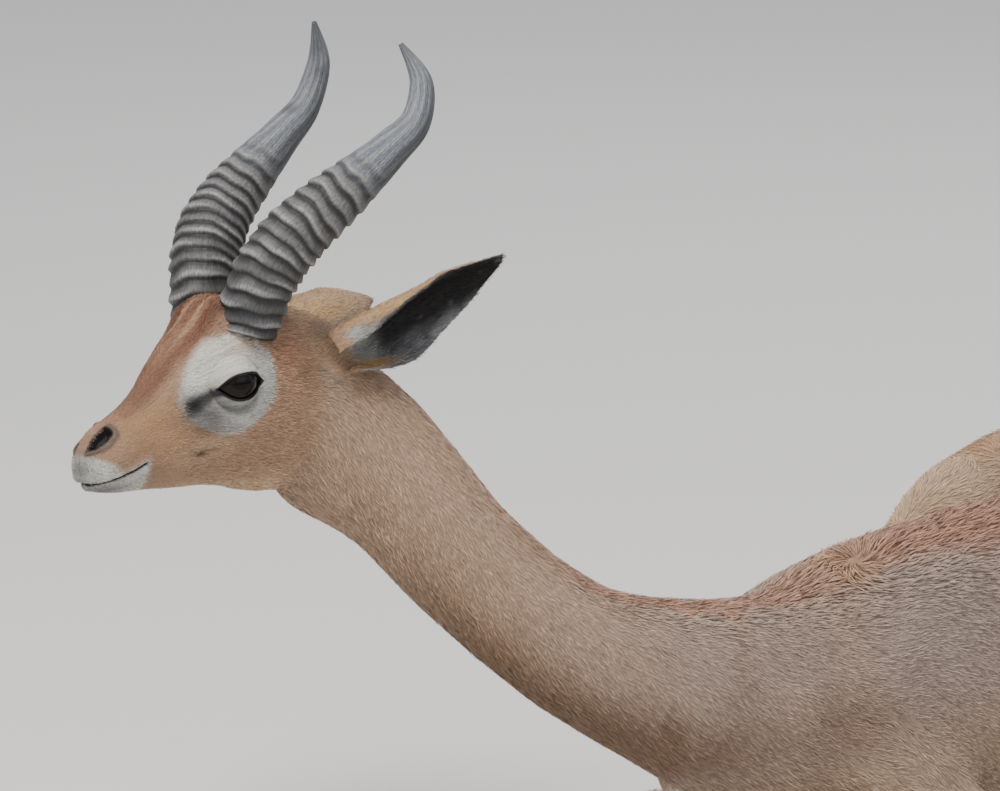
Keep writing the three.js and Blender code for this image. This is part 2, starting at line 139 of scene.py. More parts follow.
def colour(name):
    seen = np.array(PALETTE[name]) / 255
    return np.where(seen <= 0.04045, seen / 12.92, ((seen + 0.055) / 1.055) ** 2.4)


def smooth(value, start, end):
    t = np.clip((value - start) / (end - start), 0, 1)
    return t * t * (3 - 2 * t)


def blob(points, centre, reach):
    away = (points - np.array(centre)) / np.array(reach)
    return np.exp(-(away ** 2).sum(1))


# Wavy variation in space, from a few seeded sine waves
WAVES = RANDOM.normal(size=(14, 3))
PHASES = RANDOM.uniform(0, 2 * math.pi, 14)


def wavy(points, size):
    steps = points @ (WAVES / size).T + PHASES
    return np.sin(steps).mean(1) * 1.6


# The lines that the coat follows: place, radius and any roll at each point
NECK_LINE = [
    ([-128, 8, 374], 55, 8), ([-71, 0, 321], 50, 4), ([-32, -22, 281], 48, 4), ([12, -42, 245], 48, 6),
    ([54, -55, 217], 50, 8), ([90, -62, 202], 56, 10), ([142, -60, 186], 68, 12), ([200, -20, 166], 90, 14),
]
TRUNK_LINE = [
    ([200, -4, 130], 110, 12), ([256, 42, 143], 120, 14), ([330, 104, 148], 125, 15),
    ([404, 172, 150], 130, 16), ([474, 240, 152], 130, 17), ([542, 314, 154], 125, 18),
    ([606, 390, 152], 112, 18), ([652, 450, 146], 90, 18), ([690, 500, 140], 60, 18),
]
TAIL_LINE = [
    ([650, 448, 236], 14), ([700, 510, 190], 12), ([722, 538, 104], 9), ([734, 553, 44], 10),
    ([784, 612, 5], 8),
]
LEG_LINES = {
    "fore_right": [
        ([222, 92, 210], 30), ([198, 92, 150], 40), ([240, 136, 84], 38),
        ([258, 156, 70], 27), ([150, 78, 52], 22), ([106, 58, 50], 22),
    ],
    "fore_left": [
        ([296, -6, 210], 30), ([288, -28, 150], 40), ([334, -24, 84], 38),
        ([344, -48, 68], 27), ([232, -126, 52], 22), ([188, -154, 50], 22),
    ],
    "hind_right": [
        ([560, 456, 196], 80), ([462, 396, 208], 75), ([396, 350, 208], 65), ([320, 308, 180], 42),
        ([378, 372, 112], 34), ([440, 430, 74], 24), ([528, 510, 34], 18),
    ],
    "hind_left": [
        ([684, 370, 142], 76), ([630, 268, 138], 72), ([586, 196, 134], 62), ([540, 122, 114], 42),
        ([616, 158, 70], 34), ([672, 220, 56], 24), ([748, 312, 34], 18),
    ],
}
FOOT_LINES = {
    "fore_right": [
        ([106, 68, 16], 13), ([220, 152, 15], 12), ([292, 220, 17], 12), ([290, 248, 22], 12),
        ([240, 300, 12], 12),
    ],
    "fore_left": [
        ([186, -160, 16], 13), ([308, -92, 15], 12), ([388, -38, 17], 12), ([412, -32, 22], 12),
        ([462, -74, 12], 12),
    ],
    "hind_right": [
        ([522, 520, 19], 13), ([390, 428, 15], 12), ([298, 360, 17], 12), ([272, 348, 22], 12),
        ([206, 324, 12], 12),
    ],
    "hind_left": [
        ([752, 300, 19], 13), ([660, 168, 15], 12), ([598, 74, 17], 12), ([588, 50, 22], 12),
        ([550, -8, 12], 12),
    ],
}
HEAD_LINE = [
    ([-4, 0, 0], 16), ([-40, 0, 0], 26), ([-80, 0, 10], 38), ([-130, 0, 22], 56), ([-190, 0, 20], 56),
    ([-240, 0, 8], 50),
]
EAR_BASE = {"left": [-226, 44, 54], "right": [-226, -44, 54]}
EAR_TIP = {"left": [-343, 100, 103], "right": [-367, -80, 60]}
EAR_RADII = (26, 36)
REGIONS = ["head", "ear_left", "ear_right", "neck", "trunk", "tail", "leg", "foot"]


def all_lines():
    in_head = [("head", HEAD_LINE)]
    for side in EAR_BASE:
        in_head.append((f"ear_{side}", [(EAR_BASE[side], EAR_RADII[0]), (EAR_TIP[side], EAR_RADII[1])]))
    in_body = [("neck", NECK_LINE), ("trunk", TRUNK_LINE), ("tail", TAIL_LINE)]
    in_body += [("leg", line) for line in LEG_LINES.values()]
    in_body += [("foot", line) for line in FOOT_LINES.values()]
    lines = []
    for named_lines, place in ((in_head, from_head), (in_body, body_place)):
        for name, line in named_lines:
            lines.append((name, [(place(p), r, roll[0] if roll else 0) for p, r, *roll in line]))
    return lines


def follow_body(points):
    """For each region: share of it, distance along its line, angle from its top; and the coat's flow."""
    shape = (len(points), len(REGIONS))
    near = np.full(shape, 99.0)
    along = np.zeros(shape)
    angle = np.zeros(shape)
    lines = np.zeros(shape, int)
    flow = np.zeros((len(points), 3))
    for number, (name, line) in enumerate(all_lines()):
        column = REGIONS.index(name)
        travelled = 0.0
        for (a, ra, roll_a), (b, rb, roll_b) in zip(line, line[1:]):
            step = b - a
            length = np.linalg.norm(step)
            way = step / length
            t = np.clip(((points - a) @ way) / length, 0, 1)
            away = points - a - t[:, None] * step
            reach = np.maximum(np.linalg.norm(away, axis=1) / (ra + (rb - ra) * t), 0.2)
            up = unit(np.array([0, 0, 1.0]) - way * way[2], 1e-9)
            turned = np.arctan2(away @ np.cross(way, up), away @ up)
            turned -= np.radians(roll_a + (roll_b - roll_a) * t)
            pull = 0.02 if name == "leg" and travelled < 60 else 0.25 if name == "leg" else 1
            flow += pull * (reach ** -9)[:, None] * way
            closer = reach < near[:, column]
            near[closer, column] = reach[closer]
            along[closer, column] = (travelled + t * length)[closer]
            angle[closer, column] = turned[closer]
            lines[closer, column] = number
            travelled += length
    angle = (angle + math.pi) % (2 * math.pi) - math.pi
    region = near.argmin(1)
    rows = np.arange(len(points))
    share = near ** -12
    share /= share.sum(1, keepdims=True)
    return {"region": region, "along": along[rows, region], "angle": angle[rows, region],
            "flow": unit(flow, 1e-9), "line": lines[rows, region], "share": share, "alongs": along,
            "angles": angle}


def of_region(where, key, name):
    return where[key][:, REGIONS.index(name)]


def on_top(where, name, width):
    """1 along the top of a region, 0 on its sides."""
    round_from_top = np.abs(of_region(where, "angles", name))
    return (1 - smooth(round_from_top, 0.15, width)) * of_region(where, "share", name)


WHORL = body_place([268, -2, 272])
KNEE_TUFT = [92, 56, 44]


def coat_lie(points, normals, where):
    """Direction in which the hair lies, on the surface."""
    flow = where["flow"].copy()
    for name, fall in (("neck", 0.55), ("trunk", 0.6), ("head", 0.2)):
        sideways = np.abs(np.sin(of_region(where, "angles", name)))
        flow[:, 2] -= fall * of_region(where, "share", name) * sideways
    spread = points - WHORL
    near = np.exp(-(np.linalg.norm(spread, axis=1) / 25) ** 2)[:, None]
    ragged = np.stack([wavy(points + 40 * k, 7) for k in range(3)], 1)
    spread = unit(spread + 0.7 * np.cross(normals, spread) + 3 * ragged, 1e-6)
    flow = flow * (1 - near) + spread * near * 1.2
    flow -= normals * (flow * normals).sum(1)[:, None]
    return unit(flow, 1e-9)


def mix(base, name, amount):
    amount = np.clip(amount, 0, 1)[:, None]
    return base * (1 - amount) + colour(name) * amount


def add_marks(out, points, marks):
    for name, centre, reach, amount in marks:
        out = mix(out, name, blob(points, centre, reach) * amount)
    return out


# Soft marks on the face: colour, centre, reach and strength
MUZZLE_MARKS = [
    ("ochre", [-52, 20, 24], [36, 16, 14], 1), ("tan", [-70, 30, 4], [26, 26, 12], 0.6),
    ("cream", [-104, 40, -6], [22, 30, 9], 0.45),
]
EAR_ROOT_MARKS = [("grey", [-218, 48, 34], [12, 26, 14], 0.4), ("pale", [-224, 46, -2], [15, 26, 15], 0.8)]
LIP_MARKS = [("lip", [-4, 0, -8], [12, 12, 12], 0.75), ("lip", [-20, 8, -25], [22, 24, 6], 0.85)]
CHEEK_MARKS = [
    ("dark", [-102, 42, 9], [14, 30, 5], 0.5), ("black", [-98, 36, -9.5], [6, 30, 2.4], 0.85),
    ("dark", [-106, 36, -7], [10, 30, 1.6], 0.4),
]
EYE_RING = {"x": -124, "z": 41, "ahead": 41, "behind": 38, "above": 36, "below": 38}
GLAND_MARKS = [("smoke", [-102, 40, 19], [17, 20, 10], 0.85), ("black", [-94, 38, 27], [5.5, 20, 5], 1)]


def head_colour(points, normals):
    """Markings of the face, in the head's axes."""
    p, _ = to_left(points)
    x, side, z = p.T
    n = normals @ HEAD_TURN
    vary = wavy(points, 6)
    out = np.tile(colour("cheek"), (len(p), 1))
    out = mix(out, "fawn", smooth(-x, 175, 240))
    out = mix(out, "temple", blob(p, [-172, 40, 58], [26, 30, 26]))
    out = mix(out, "crown", smooth(z, 56, 78) * smooth(-x, 185, 215))
    out = add_marks(out, p, MUZZLE_MARKS)
    out = mix(out, "cream", smooth(-z, 24, 46) * smooth(-x, 56, 90) * 0.5)
    half = 10 + 0.14 * np.clip(-x - 40, 0, 60) + 0.32 * np.clip(-x - 95, 0, 50)
    top = smooth(n[:, 2], 0.0, 0.5) * smooth(-x, 22, 70) * (1 - smooth(-x, 182, 200))
    bridge = (1 - smooth(side + 1.5 * vary, half * 0.75, half * 1.3)) * top
    bridge *= 1 - smooth(side, 22, 32) * smooth(-x, 142, 160)
    out = mix(out, "chestnut", bridge * 0.92)
    # Painted highlight: lighter along the crest of the bridge, on its midline
    out = mix(out, "temple", bridge * blob(p, [-96, 0, 60], [40, 9, 40]) * 0.7)
    # Painted highlight: a lighter line along the raised ridge beside the midline of the forehead
    ridge_highlight = np.exp(-((side - 8) / 2.6) ** 2) * blob(p, [-122, 8, 84], [26, 40, 26])
    out = mix(out, "crown", bridge * ridge_highlight * 0.7)
    out = mix(out, "dark", bridge * blob(p, [-140, 22, 84], [16, 10, 20]) * 0.55)
    # A darker brown patch behind the cheek, below the ear root
    out = mix(out, "shade_brown", blob(p, [-196, 46, 36], [16, 26, 16]) * 0.6)
    # White round the eye, narrower in front of it; greyer below, as painted shade on its lower part
    u, v = x - EYE_RING["x"], z - EYE_RING["z"]
    ahead = smooth(u, 6, 40)
    rise = np.where(v > 0, EYE_RING["above"] - 9 * ahead, EYE_RING["below"] - 4 * ahead)
    reach = np.where(u > 0, EYE_RING["ahead"], EYE_RING["behind"])
    ring = np.sqrt((u / reach) ** 2 + ((v + 0.16 * u) / rise) ** 2) + 0.04 * vary
    white = (1 - smooth(ring, 0.86, 1.04)) * smooth(side, 16, 28)
    out = mix(out, "ring", white)
    # Painted shade: the lower part of the ring greyer
    out = mix(out, "pale", white * smooth(-v, -4, 12) * 0.9)
    out = mix(out, "pale", white * smooth(-u, 8, 28) * 0.8)
    out = mix(out, "crown", white * blob(p, [-140, 46, 66], [16, 30, 8]) * 0.5)
    out = add_marks(out, p, EAR_ROOT_MARKS)
    # White chin and upper lip
    slope = z + 0.28 * (x + 57)
    chin = smooth(x, -60, -52) * (1 - smooth(slope, -9, -2))
    lip = smooth(x, -36, -20) * (1 - smooth(z - 0.5 * (x + 10), -1, 5))
    out = mix(out, "ring", np.clip(chin + lip, 0, 1))
    out = add_marks(out, p, LIP_MARKS + CHEEK_MARKS)
    stripe_at = np.clip((x + 116) / 24, 0, 1)
    stripe = np.abs(z - (38 - 12 * stripe_at)) / (3.5 + 5.5 * stripe_at)
    stripe_ends = smooth(x, -118, -111) * (1 - smooth(x, -92, -83)) * smooth(side, 20, 28)
    out = mix(out, "black", (1 - smooth(stripe, 0.3, 1.4)) * stripe_ends * 0.9)
    out = add_marks(out, p, GLAND_MARKS)
    out = mix(out, "smoke", (1 - smooth(nostril_depth(p), 1.2, 2.6)) * 0.7)
    return out


def ear_colour(points, normals, side):
    base, tip = np.array(EAR_BASE[side]), np.array(EAR_TIP[side])
    way = unit(tip - base)
    facing = np.array([0.55, 0.6 if side == "left" else -0.6, -0.6])
    facing = unit(facing - way * (facing @ way))
    u = (points - base) @ way / np.linalg.norm(tip - base)
    n = normals @ HEAD_TURN
    inner = smooth(n @ facing, -0.05, 0.35)
    across = np.cross(way, facing)
    across *= -np.sign(across[2])
    lower = (points - base) @ across / 34
    out = np.tile(colour("gold"), (len(points), 1))
    out = mix(out, "fawn", smooth(u, 0.25, 0.8) * 0.8)
    out = mix(out, "grey", smooth(lower, 0.1, 0.7) * smooth(u, 0.12, 0.3) * 0.9)
    out = mix(out, "smoke", smooth(u, 0.75, 1.0) * 0.8)
    streaks = smooth(wavy(points, 1.6), 0.45, 0.9)
    lining = mix(np.tile(colour("black"), (len(points), 1)), "grey", streaks * 0.45)
    edge = np.abs(lower) / np.clip(1.2 - np.abs(u - 0.4), 0.3, 1)
    rough = 0.5 + 0.5 * smooth(wavy(points, 2.2), -0.3, 0.5)
    lining = mix(lining, "grey", smooth(edge, 0.55, 0.9) * rough)
    lining = mix(lining, "smoke", smooth(-lower, 0.1, 0.5) * (1 - smooth(u, 0.55, 0.75)) * 0.8)
    lining = mix(lining, "pale", (1 - smooth(u, 0.06, 0.26)) * (0.4 + 0.6 * rough))
    out = out * (1 - inner[:, None]) + lining * inner[:, None]
    return mix(out, "smoke", smooth(u, 0.93, 1.02) * 0.7)


def coat_colour(points, normals, where):
    """The animal's markings at any point of its skin or coat."""
    share = {name: of_region(where, "share", name) for name in REGIONS}
    neck, trunk, leg, foot, tail = (share[name] for name in ("neck", "trunk", "leg", "foot", "tail"))
    neck_round = np.abs(of_region(where, "angles", "neck"))
    trunk_round = np.abs(of_region(where, "angles", "trunk"))
    neck_along = of_region(where, "alongs", "neck")
    trunk_along = of_region(where, "alongs", "trunk")
    vary = wavy(points, 30)
    out = np.tile(colour("fawn"), (len(points), 1))
    out = mix(out, "shoulder", (0.25 + 0.75 * smooth(neck_along, 150, 420)) * neck)
    out = mix(out, "shoulder", trunk + leg)
    out = mix(out, "flank", 0.7 * smooth(trunk_round, 0.95, 1.6) * (trunk + leg))
    # Painted shade: the underside of the neck darker
    out = mix(out, "shade_brown", smooth(neck_round, 1.2, 2.3) * neck * smooth(neck_along, 60, 220) * 0.85)
    neck_band = np.radians(9) * (1 + 0.25 * vary)
    rust = (1 - smooth(neck_round, neck_band * 0.5, neck_band * 1.6)) * neck * smooth(neck_along, 90, 300)
    out = mix(out, "rust", rust * 0.75)
    band = np.radians(9 + 12 * smooth(trunk_along, 60, 330)) * (1 + 0.25 * vary)
    back = (1 - smooth(trunk_round, band * 0.5, band * 1.5)) * trunk
    saddle = smooth(trunk_along, 160, 420)
    out = mix(out, "rust", back * (0.8 - 0.3 * saddle))
    out = mix(out, "saddle", back * saddle * 0.75)
    out = mix(out, "gold", blob(points, WHORL + np.array([-13, -6, -1]), [20, 16, 10]) * 0.5)
    out = mix(out, "white", smooth(trunk_round, 2.1, 2.45) * (trunk + 0.6 * leg))
    out = mix(out, "white", smooth(trunk_along, 620, 660) * trunk * smooth(trunk_round, 0.5, 1.2) * 0.9)
    low_leg = smooth(of_region(where, "alongs", "leg"), 150, 260) * leg
    out = mix(out, "tan", low_leg * 0.8)
    for side_of_thigh in ([330, 325, 250], [560, 100, 170]):
        out = mix(out, "cream", blob(points, body_place(side_of_thigh), [70, 70, 60]) * leg * 0.95)
    out = mix(out, "tan", blob(points, body_place([378, 345, 292]), [30, 50, 16]) * leg)
    # Painted shade in the hollow between neck and shoulder, over the hollow carved at the same place
    out = mix(out, "shade_brown", blob(points, body_place([274, -88, 158]), [36, 60, 26]) * 0.75)
    out = mix(out, "tan", foot * 0.9)
    out = mix(out, "tan", tail * 0.8)
    out = mix(out, "black", smooth(of_region(where, "alongs", "tail"), 180, 215) * tail)
    for knee in (KNEE_TUFT, [176, -160, 44]):
        out = mix(out, "dark", blob(points, body_place(knee), [24, 24, 20]) * 0.8)
    in_head = to_head(points)
    head = smooth(share["head"], 0.12, 0.9)[:, None]
    out = out * (1 - head) + head_colour(in_head, normals) * head
    for side in EAR_BASE:
        ear = smooth(share[f"ear_{side}"], 0.25, 0.6)
        ear = (ear * smooth(of_region(where, "alongs", f"ear_{side}"), 0, 9))[:, None]
        out = out * (1 - ear) + ear_colour(in_head, normals, side) * ear
    shade = 1 + 0.07 * wavy(points, 12) + 0.05 * vary
    return np.clip(out * shade[:, None], 0.002, 0.95)


def read(items, key, width, kind=float):
    values = np.empty(len(items) * width, kind)
    items.foreach_get(key, values)
    return values.reshape(-1, width)


def mesh_arrays(mesh):
    return read(mesh.vertices, "co", 3) / MM, read(mesh.vertices, "normal", 3)


def mesh_triangles(mesh):
    mesh.calc_loop_triangles()
    return read(mesh.loop_triangles, "vertices", 3, np.int32)


def mesh_edges(mesh):
    return read(mesh.edges, "vertices", 2, np.int32)


def set_points(mesh, points):
    mesh.vertices.foreach_set("co", (points * MM).astype(np.float32).ravel())
    mesh.update()


def shade_smooth(mesh):
    mesh.polygons.foreach_set("use_smooth", np.ones(len(mesh.polygons), bool))


def fuse(obj, grid):
    """Joins overlapping solids into one even surface."""
    voxels = obj.modifiers.new("fuse", "REMESH")
    voxels.mode = "VOXEL"
    voxels.voxel_size = grid
    shaped = bpy.data.meshes.new_from_object(obj.evaluated_get(bpy.context.evaluated_depsgraph_get()))
    obj.modifiers.clear()
    obj.data = shaped


def new_object(name, mesh):
    obj = bpy.data.objects.new(name, mesh)
    bpy.context.scene.collection.objects.link(obj)
    return obj


def node_mesh(nodes, name):
    points, faces, start = [], [], 0
    for node in nodes:
        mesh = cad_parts[node].data
        p, _ = mesh_arrays(mesh)
        points.append(p)
        faces.append(mesh_triangles(mesh) + start)
        start += len(p)
    mesh = bpy.data.meshes.new(name)
    build_mesh(mesh, np.concatenate(points), np.concatenate(faces))
    return new_object(name, mesh)


def build_mesh(mesh, points, triangles):
    mesh.vertices.add(len(points))
    mesh.vertices.foreach_set("co", (points * MM).astype(np.float32).ravel())
    mesh.loops.add(triangles.size)
    mesh.loops.foreach_set("vertex_index", triangles.astype(np.int32).ravel())
    mesh.polygons.add(len(triangles))
    mesh.polygons.foreach_set("loop_start", np.arange(0, triangles.size, 3, dtype=np.int32))
    mesh.update(calc_edges=True)


def paint(mesh, rgb):
    layer = mesh.color_attributes.new("Coat", "FLOAT_COLOR", "POINT")
    layer.data.foreach_set("color", np.c_[rgb, np.ones(len(rgb))].astype(np.float32).ravel())


def set_strand(mesh, vectors):
    layer = mesh.attributes.new("Strand", "FLOAT_VECTOR", "POINT")
    layer.data.foreach_set("vector", vectors.astype(np.float32).ravel())


def body_strand(where):
    """A place round the body's line, squeezed along it, so that noise makes streaks like short hair."""
    angle, line = where["angle"], where["line"]
    return np.stack([46 * np.cos(angle), 46 * np.sin(angle), where["along"] * 0.22 + 90 * line], 1)


def relax(points, edges, factor, rounds):
    """Moves each point towards the mean of its neighbours."""
    ends, others = np.r_[edges[:, 0], edges[:, 1]], np.r_[edges[:, 1], edges[:, 0]]
    count = np.maximum(np.bincount(ends, minlength=len(points)), 1)
    for _ in range(rounds):
        mean = np.stack([np.bincount(ends, points[others, k], len(points)) / count for k in range(3)], 1)
        points = points + factor[:, None] * (mean - points)
    return points


def edit_mesh(mesh, change):
    bm = bmesh.new()
    bm.from_mesh(mesh)
    change(bm)
    bm.to_mesh(mesh)
    bm.free()
    mesh.update()


def subdivide_where(mesh, wanted):
    """Cuts once more every face whose corners are all wanted."""
    def cut(bm):
        edges = [e for e in bm.edges if wanted[e.verts[0].index] and wanted[e.verts[1].index]]
        bmesh.ops.subdivide_edges(bm, edges=edges, cuts=1, use_grid_fill=True)
    edit_mesh(mesh, cut)


def refine(mesh, wanted_at, rounds):
    points, _ = mesh_arrays(mesh)
    subdivide_where(mesh, wanted_at(to_head(points)))
    points, _ = mesh_arrays(mesh)
    near = wanted_at(to_head(points)).astype(float) * 0.5
    set_points(mesh, relax(points, mesh_edges(mesh), near, rounds))


# Eyes and lids, on the left side of the head's axes; the right side is mirrored
EYE_OUT = unit(np.array([0.22, 0.965, -0.08]))
EYE_FORWARD = np.array([1.0, 0.0, -0.02])
EYE_FORWARD = unit(EYE_FORWARD - EYE_OUT * (EYE_FORWARD @ EYE_OUT))
EYE_UP = np.cross(EYE_OUT, EYE_FORWARD)
EYE_UP *= np.sign(EYE_UP[2])
LID = {
    "half": 19.4, "shift": -2.6, "upper": 9.5, "lower": 9.0,
    "drop": 2.2, "thick": 1.5, "rim": 2.6, "crease": 6.5,
}


def eye_coordinates(p):
    rel = p - EYE_AT
    return rel @ EYE_FORWARD, rel @ EYE_UP, rel @ EYE_OUT


def lid_margin(a, b):
    """How far inside the opening a place is; negative on the lids."""
    t = np.clip(np.abs((a - LID["shift"]) / LID["half"]), 0, 1.4)
    b = b + LID["drop"]
    upper = LID["upper"] * (1 - t ** 2.7)
    lower = -LID["lower"] * (1 - t ** 2.3)
    return np.minimum(upper - b, b - lower)


def shape_lids(p):
    a, b, h = eye_coordinates(p)
    flat = np.hypot(a, b)
    active = (h > 0) & (flat < 34)
    lid = EYE_RADIUS + LID["thick"]
    ball = np.sqrt(np.maximum(lid ** 2 - flat ** 2, 16))
    share = (1 - smooth(flat, 15.5, 27)) * active
    height = h + (ball - h) * share
    margin = lid_margin(a, b)
    ring = active & (flat < 27)
    height += ring * 0.7 * np.exp(-((margin + LID["rim"] / 2) / 1.6) ** 2) * (margin < 0.3)
    height -= ring * 0.9 * np.exp(-((margin + LID["crease"]) / 1.5) ** 2) * smooth(b, 2, 7)
    inside = np.sqrt(np.maximum((EYE_RADIUS - 3.0) ** 2 - flat ** 2, 9))
    open_share = smooth(margin, 0.0, 0.45) * (flat < EYE_RADIUS + 2) * active
    height = height + (inside - height) * open_share
    return p + (height - h)[:, None] * EYE_OUT


def line_distance(p, line):
    """Distance to a polyline and the share of its length, for each point."""
    line = [np.array(q, float) for q in line]
    total = sum(np.linalg.norm(b - a) for a, b in zip(line, line[1:]))
    best = np.full(len(p), 1e9)
    share = np.zeros(len(p))
    gone = 0.0
    for a, b in zip(line, line[1:]):
        length = np.linalg.norm(b - a)
        t = np.clip((p - a) @ (b - a) / length ** 2, 0, 1)
        d = np.linalg.norm(p - a - t[:, None] * (b - a), axis=1)
        closer = d < best
        best[closer] = d[closer]
        share[closer] = (gone + t * length)[closer] / total
        gone += length
    return best, share


NOSTRIL = [[-5, 10, 2.5], [-12, 13, 8], [-20, 16, 14], [-28, 17, 19]]
MOUTH = [[-9, 0, -17.5], [-11, 6, -19], [-30, 17, -16], [-44, 22, -12.5], [-54, 25, -9]]
TEAR = [[-110, 50, 36], [-102, 45, 31], [-94, 42, 27]]
SEEN_FROM_SIDE = np.array([1, 0.25, 1])


def side_distance(p, line):
    return line_distance(p * SEEN_FROM_SIDE, np.array(line) * SEEN_FROM_SIDE)


def nostril_depth(p):
    """0 along the middle of the nostril, 1 at its edge."""
    away, share = side_distance(p, NOSTRIL)
    return away / (1.2 + 2.8 * smooth(share, 0.05, 0.7)) + 9 * smooth(-p[:, 1], -6, -3)


# Bulges and hollows of the face: centre, reach and height
FACE_FORMS = {
    "side of the bridge": ([-86, 26, 44], [26, 9, 9], 2.2),
    "beside the ridge": ([-124, 13, 84], [14, 5, 14], -2.6),
    "forehead": ([-147, 0, 88], [17, 30, 22], 7.5),
    "round the horn": ([-158, 32, 82], [30, 26, 20], 3.0),
    "before the horn": ([-133, 20, 88], [14, 18, 20], 9.0),
    "brow": ([-118, 42, 66], [20, 9, 7], 2.6),
    "side of the muzzle": ([-76, 30, 14], [15, 10, 9], -1.6),
    "cheekbone": ([-118, 46, 8], [34, 12, 8], 1.8),
    "under the cheekbone": ([-92, 34, -8], [20, 12, 5], -1.5),
    "lip": ([-60, 28, -12], [16, 10, 7], 1.4),
    "jaw": ([-150, 44, -24], [26, 14, 16], 2.2),
    "behind the jaw": ([-196, 46, 4], [12, 12, 26], -2.0),
}


def shape_face(points, normals):
    """Folds, lips, nostrils and lids, in the head's axes."""
    p, back = to_left(points)
    n = normals * back
    push = np.zeros(len(p))
    opening = nostril_depth(p)
    push -= 7.0 * (1 - smooth(opening, 0.45, 1.05))
    push += 1.4 * np.exp(-((opening - 1.45) / 0.4) ** 2)
    mouth, share = side_distance(p, MOUTH)
    push -= 2.2 * np.exp(-(mouth / 1.3) ** 2)
    push += 1.1 * np.exp(-((mouth - 4) / 2.4) ** 2) * (1 - 0.5 * share)
    push -= 1.0 * np.exp(-(p[:, 1] / 1.1) ** 2) * smooth(p[:, 0], -14, -8) * (p[:, 2] < 8)
    tear, _ = side_distance(p, TEAR)
    push -= 1.6 * np.exp(-(tear / 2.6) ** 2) + 2.2 * blob(p, TEAR[-1], [4.5, 8, 3.5])
    push += 2.0 * np.exp(-(p[:, 1] / 7) ** 2) * blob(p, [-108, 0, 74], [26, 30, 22])
    push += 1.3 * np.exp(-((p[:, 1] - 8) / 3) ** 2) * blob(p, [-122, 8, 84], [28, 30, 26])
    for centre, reach, height in FACE_FORMS.values():
        push += height * blob(p, centre, reach)
    moved = shape_lids(p + n * push[:, None])
    return moved * back


FLESH = [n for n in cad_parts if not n.startswith(("eye", "horn")) and "hoof" not in n]
SKIN_GRID = 0.003
RELAX_ROUNDS = 44
BACK_OF_FACE = -235
FLOOR_GAP = 0.4
COAT_DEPTH = {"head": 1.1, "ear": 0.4, "neck": 2.4, "trunk": 2.8, "tail": 2.4, "leg": 2.2, "foot": 0.9}
SMOOTHING = {"head": 0.16, "ear": 0.07, "neck": 0.6, "trunk": 0.65, "tail": 0.3, "leg": 0.5, "foot": 0.2}


def by_region(table, where):
    return where["share"] @ np.array([table[name.split("_")[0]] for name in REGIONS])


# Small changes from the solids, in millimetres: the near ear's bend, then bulges and hollows of the body
THROAT = [-158, -8, 330]
THIGH_BACKS = ([570, 466, 196], [690, 374, 160])
EAR_BEND = {"middle": [0, 0, -9], "tip": [9, 0, 4]}
BODY_FORMS = [
    ([-150, 0, 326], [42, 60, 32], 10), ([322, -72, 225], [56, 50, 34], 5),
    ([274, -88, 158], [30, 50, 34], -6), ([226, -96, 150], [22, 40, 60], 3),
    ([236, -60, 208], [40, 40, 18], -3), ([390, 20, 215], [26, 60, 40], -4),
    ([600, 200, 250], [60, 60, 26], -4), ([206, 96, 200], [40, 50, 50], 4),
    ([560, 100, 190], [50, 50, 40], 4), ([470, 60, 120], [30, 60, 60], -4),
    ([340, 330, 250], [50, 50, 30], 4), ([300, 190, 170], [30, 60, 60], -4),
]


def bend_ear(points, where):
    base, tip = np.array(EAR_BASE["left"]), np.array(EAR_TIP["left"])
    length = np.linalg.norm(tip - base)
    u = np.clip((to_head(points) - base) @ (tip - base) / length ** 2, 0, 1)
    weight = smooth(of_region(where, "share", "ear_left"), 0.05, 0.8)
    middle = np.sin(math.pi * u) * weight
    return points + middle[:, None] * EAR_BEND["middle"] + (u * weight)[:, None] * EAR_BEND["tip"]


def shape_body(points, normals):
    push = np.zeros(len(points))
    for centre, reach, amount in BODY_FORMS:
        push += amount * blob(points, body_place(centre), reach)
    return points + normals * push[:, None]


def in_face(q, half_width, bottom, top):
    return (q[:, 0] > BACK_OF_FACE) & (np.abs(q[:, 1]) < half_width) & (q[:, 2] > bottom) & (q[:, 2] < top)


def near_eye_or_muzzle(q):
    return (np.linalg.norm(to_left(q)[0] - EYE_AT, axis=1) < 34) | (q[:, 0] > -64)


def near_lids(q):
    return (np.hypot(q[:, 0] - EYE_AT[0], q[:, 2] - EYE_AT[2]) < 27) & (np.abs(q[:, 1]) > 38)


